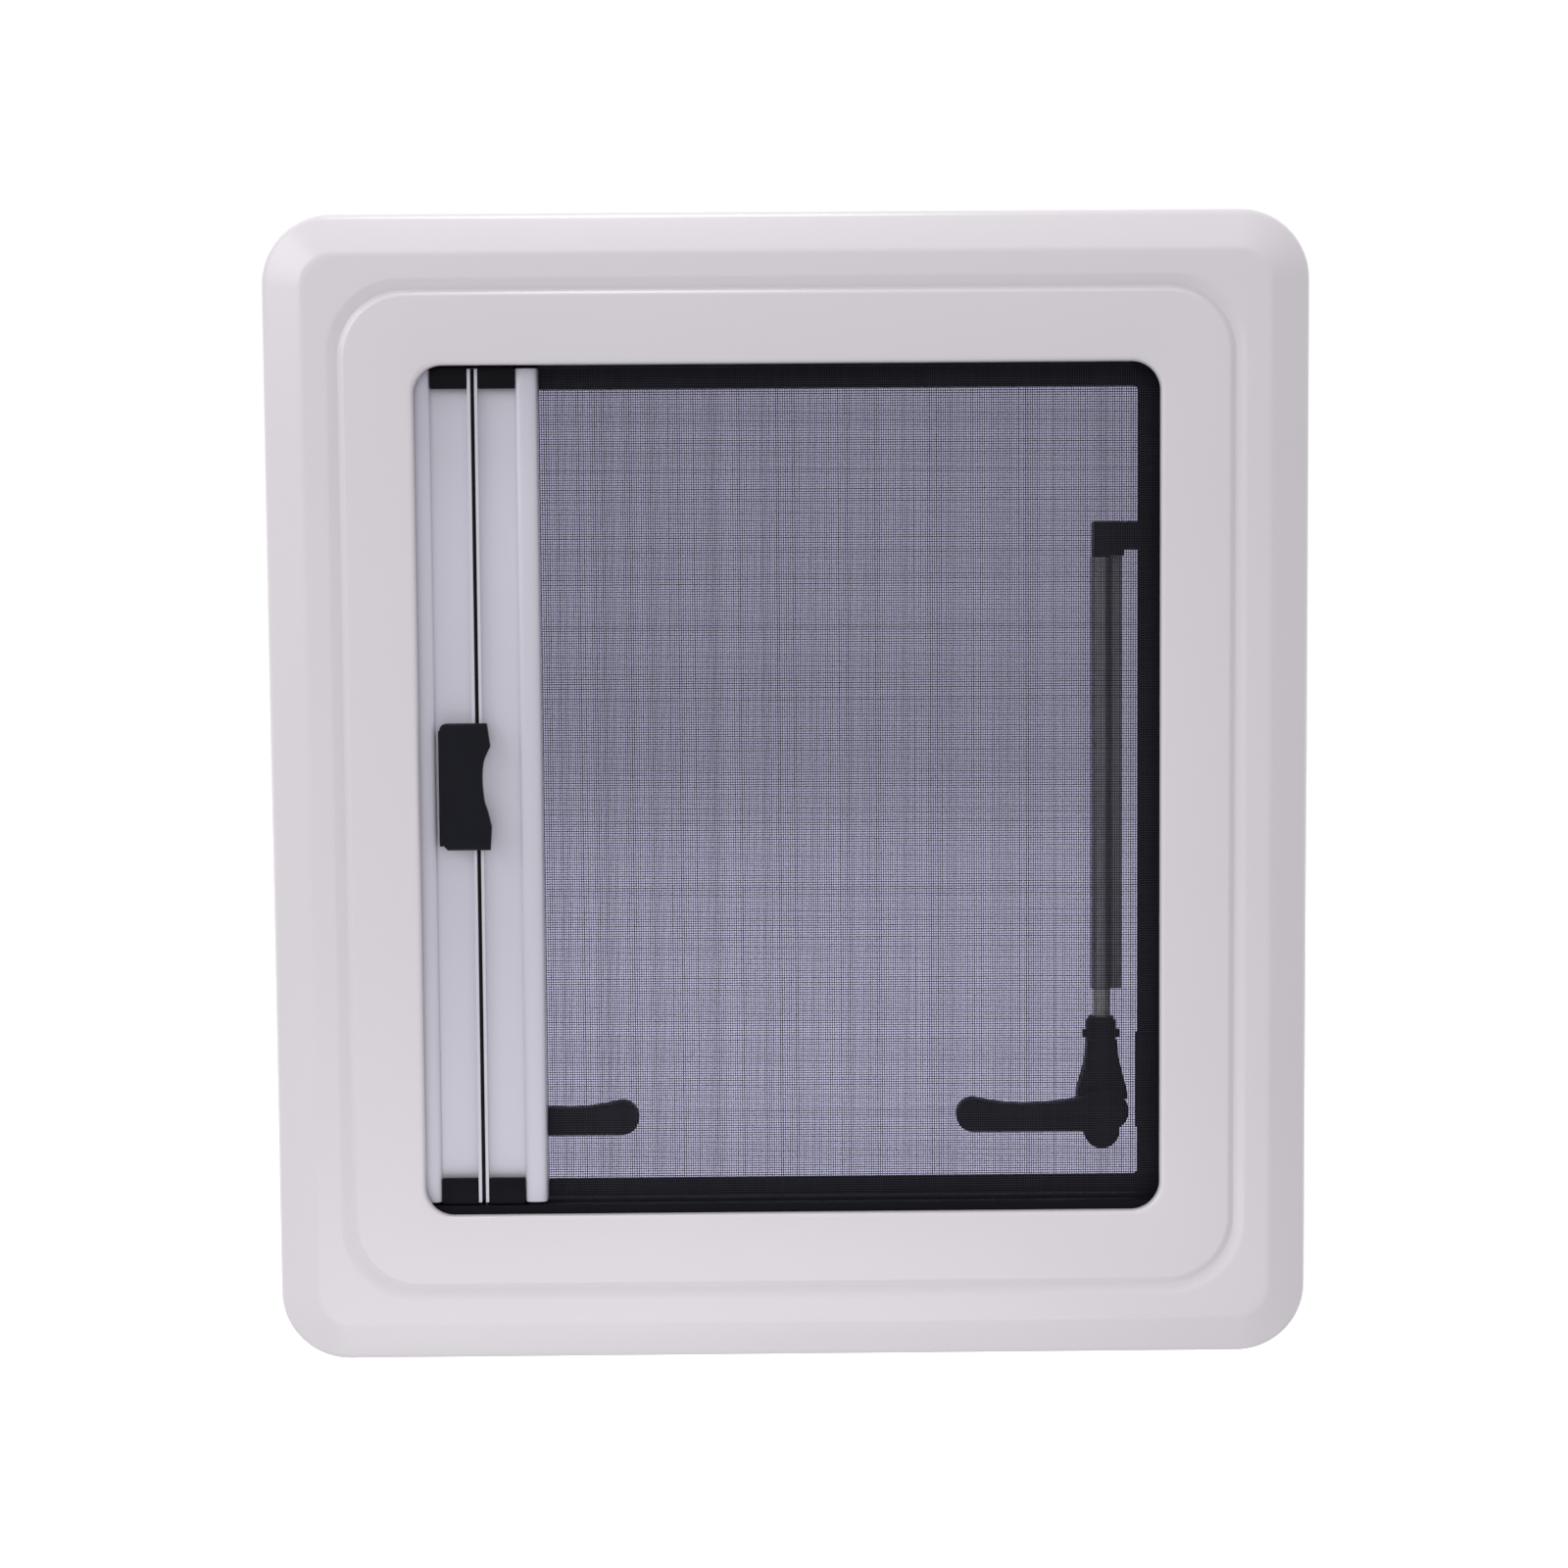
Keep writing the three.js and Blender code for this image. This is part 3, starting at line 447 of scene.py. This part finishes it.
def net():
    """The insect net: upright and level threads that cross and touch."""
    low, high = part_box("screen_mesh")
    draw = random.Random(7)
    bm = bmesh.new()
    middle = (low.y + high.y) / 2
    front, back = middle - THREAD_DEPTH, middle + THREAD_DEPTH
    for left, right in threads(draw, low.x, high.x, UPRIGHT_PITCH, UPRIGHT_WIDTHS):
        thread(bm, (left, front, low.z), (right, middle + THREAD_OVERLAP, high.z))
    for under, over in threads(draw, low.z, high.z, LEVEL_PITCH, LEVEL_WIDTHS):
        thread(bm, (low.x, middle - THREAD_OVERLAP, under), (high.x, back, over))
    piece = settle("insect_net", bm, NET_THREAD)
    stand_for(piece, "screen_mesh")
    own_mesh(piece)


net()


# ---- Trim ---------------------------------------------------------------------------------------
FILLET_REACH = 0.48  # the most of a side that a fillet takes up


def fillet(points, steps=5):
    """Rounds each corner of a profile; a point is (inset, y, corner radius, fillet radius)."""
    out = []
    count = len(points)
    for i, (inset, y, r, radius) in enumerate(points):
        here = Vector((inset, y, r))
        if radius <= 0:
            out.append(here)
            continue
        before = Vector(points[i - 1][:3]) - here
        after = Vector(points[(i + 1) % count][:3]) - here
        start = here + before * min(FILLET_REACH, radius / before.xy.length)
        end = here + after * min(FILLET_REACH, radius / after.xy.length)
        for k in range(steps + 1):
            t = k / steps
            out.append(start * (1 - t) ** 2 + here * 2 * t * (1 - t) + end * t * t)
    return out


def rounded_ring(centre, half_width, half_height, radius, y, steps):
    """The points of a rounded rectangle at one depth."""
    ring = []
    for quarter, (sx, sz) in enumerate(((1, 1), (-1, 1), (-1, -1), (1, -1))):
        for k in range(steps + 1):
            angle = (quarter + k / steps) * math.pi / 2
            ring.append((centre.x + sx * (half_width - radius) + radius * math.cos(angle), y,
                         centre.z + sz * (half_height - radius) + radius * math.sin(angle)))
    return ring


def inner_trim():
    """The moulded trim: a closed profile in mm, carried round the opening."""
    low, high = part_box("inner_trim")
    centre, half = (low + high) / 2, (high - low) / 2
    profile = fillet([
        # outer edge and slope
        (0, 0, 34, 0),
        (0, -18.3, 34, 4.0),
        (20.6, -29.1, 16, 1.6),
        # groove
        (32.8, -29.3, 36, 0.8),
        (37.9, -27.3, 32.3, 0.5),
        (40.7, -29.5, 30, 0.8),
        # flat and lip
        (73.8, -29.6, 14, 2.4),
        (73.8, -24.6, 14, 0.4),
        # the skin's back
        (71.3, -24.6, 16, 0),
        (71.3, -26.6, 16, 0),
        (41.5, -26.6, 30, 0),
        (37, -24.9, 32, 0),
        (22, -26, 14, 0),
        (7, -18.4, 27, 0),
        (3, -16, 31, 0),
        # flange against the wall
        (3, -3, 31, 0),
        (18, -3, 16, 0),
        (18, 0, 16, 0),
    ])
    bm = bmesh.new()
    rings = []
    for inset, y, radius in profile:
        ring = rounded_ring(centre, half.x - inset * MM, half.z - inset * MM, radius * MM, y * MM, 20)
        rings.append([bm.verts.new(p) for p in ring])
    for here, after in zip(rings, rings[1:] + rings[:1]):
        count = len(here)
        for k in range(count):
            m = (k + 1) % count
            bm.faces.new((here[k], here[m], after[m], after[k]))
    stand_for(settle("trim_moulding", bm, CREAM, 50), "inner_trim")


inner_trim()


# ---- Studio -------------------------------------------------------------------------------------
FRONT_WORLD = 0.815
BACK_WORLD = 1.03
FRONT_TO_BACK = (0.3, 0.8)  # where the surroundings change from one to the other
FLOOR_REACH = 30.0
FLOOR_DROP = 0.55
FLOOR_GREY = 0.3
# The floor's glow by distance: ((from, to), (glow there, glow there)) in metres behind the window.
GLOW_NEAR = ((0.2, 1.1), (0.2, 1))
GLOW_FAR = ((2, 17), (1.27, 0.79))
GLOW_FRONT = ((-15, -4), (0.31, 0))
# Name, place seen from the window's middle in metres, size in metres, power in watts.
LAMPS = [
    ("overhead", (-0.2, -0.15, 2.5), 0.7, 15.4),
    ("upper_left", (-1.7, -0.9, 1.1), 1.3, 10.6),
    ("under", (-0.1, -0.45, -0.55), 0.65, 1.3),
]
CAMERA_RIGHT = Vector((0.999946, -0.007167, -0.007494))
CAMERA_UP = Vector((0.007919, 0.061257, 0.998091))
CAMERA_PLACE = (-11.23 * MM, -1261.64 * MM, 79.81 * MM)  # x is counted from the window's middle
CAMERA_LENS = 58.5
CAMERA_SENSOR = 36


def floor_paint():
    """Pale floor that glows more strongly behind the object than before it; the glow is painted light, which
    lights the window from below and behind as a lamp would.
    """
    n = Nodes("pale_glowing_floor")
    shader = n.add("ShaderNodeBsdfPrincipled")
    shader.inputs["Base Color"].default_value = (FLOOR_GREY, FLOOR_GREY, FLOOR_GREY, 1)
    shader.inputs["Roughness"].default_value = 0.9
    shader.inputs["Specular IOR Level"].default_value = 0.0
    shader.inputs["Emission Color"].default_value = (1, 1, 1, 1)
    split = n.add("ShaderNodeSeparateXYZ")
    n.link(n.coordinates.outputs["Object"], split.inputs["Vector"])
    # Painted light: the floor's glow by distance lights the window from below and behind, in place of light
    # bounced off a real floor.
    far, near, front = [n.ramp(split.outputs["Y"], *glow) for glow in (GLOW_FAR, GLOW_NEAR, GLOW_FRONT)]
    total = n.combine("ADD", n.combine("MULTIPLY", far, near), front)
    n.link(total, shader.inputs["Emission Strength"])
    return n.surface(shader.outputs["BSDF"])


def surroundings():
    """White behind the object, dimmer in front of it."""
    world = bpy.data.worlds.new("studio_white")
    world.use_nodes = True
    tree = world.node_tree
    split = tree.nodes.new("ShaderNodeSeparateXYZ")
    place = tree.nodes.new("ShaderNodeTexCoord")
    tree.links.new(place.outputs["Generated"], split.inputs["Vector"])
    side = tree.nodes.new("ShaderNodeMapRange")
    side.interpolation_type = "SMOOTHSTEP"
    side.inputs["From Min"].default_value, side.inputs["From Max"].default_value = FRONT_TO_BACK
    side.inputs["To Min"].default_value = FRONT_WORLD
    side.inputs["To Max"].default_value = BACK_WORLD
    tree.links.new(split.outputs["Y"], side.inputs["Value"])
    tree.links.new(side.outputs["Result"], tree.nodes["Background"].inputs["Strength"])
    tree.nodes["Background"].inputs["Color"].default_value = (1, 1, 1, 1)
    bpy.context.scene.world = world


def lamp(name, place, size, power):
    """A square soft light aimed at the middle of the window."""
    light = bpy.data.lights.new(name, "AREA")
    light.energy = power
    light.size = size
    holder = bpy.data.objects.new(name, light)
    holder.location = (cad_box[0] + cad_box[1]) / 2 + Vector(place)
    holder.rotation_mode = "QUATERNION"
    holder.rotation_quaternion = (-Vector(place)).to_track_quat("-Z", "Y")
    bpy.context.scene.collection.objects.link(holder)


def camera():
    """The camera, a little above the window's middle and in front of it."""
    lens = bpy.data.cameras.new("camera")
    lens.sensor_width = CAMERA_SENSOR
    lens.lens = CAMERA_LENS
    holder = bpy.data.objects.new("camera", lens)
    back = CAMERA_RIGHT.cross(CAMERA_UP)
    place = Matrix((CAMERA_RIGHT, CAMERA_UP, back)).transposed().to_4x4()
    middle = (cad_box[0].x + cad_box[1].x) / 2
    x, y, z = CAMERA_PLACE
    place.translation = Vector((middle + x, y, z))
    holder.matrix_world = place
    bpy.context.scene.collection.objects.link(holder)
    bpy.context.scene.camera = holder


def studio():
    """Pale floor, white surroundings, soft lights and the camera."""
    bm = bmesh.new()
    floor_z = cad_box[0].z - FLOOR_DROP
    corners = [(-1, -1), (1, -1), (1, 1), (-1, 1)]
    bm.faces.new([bm.verts.new((x * FLOOR_REACH, y * FLOOR_REACH, floor_z)) for x, y in corners])
    settle("floor", bm, floor_paint())
    surroundings()
    for row in LAMPS:
        lamp(*row)
    camera()
    bpy.context.scene.view_settings.view_transform = "Standard"


studio()
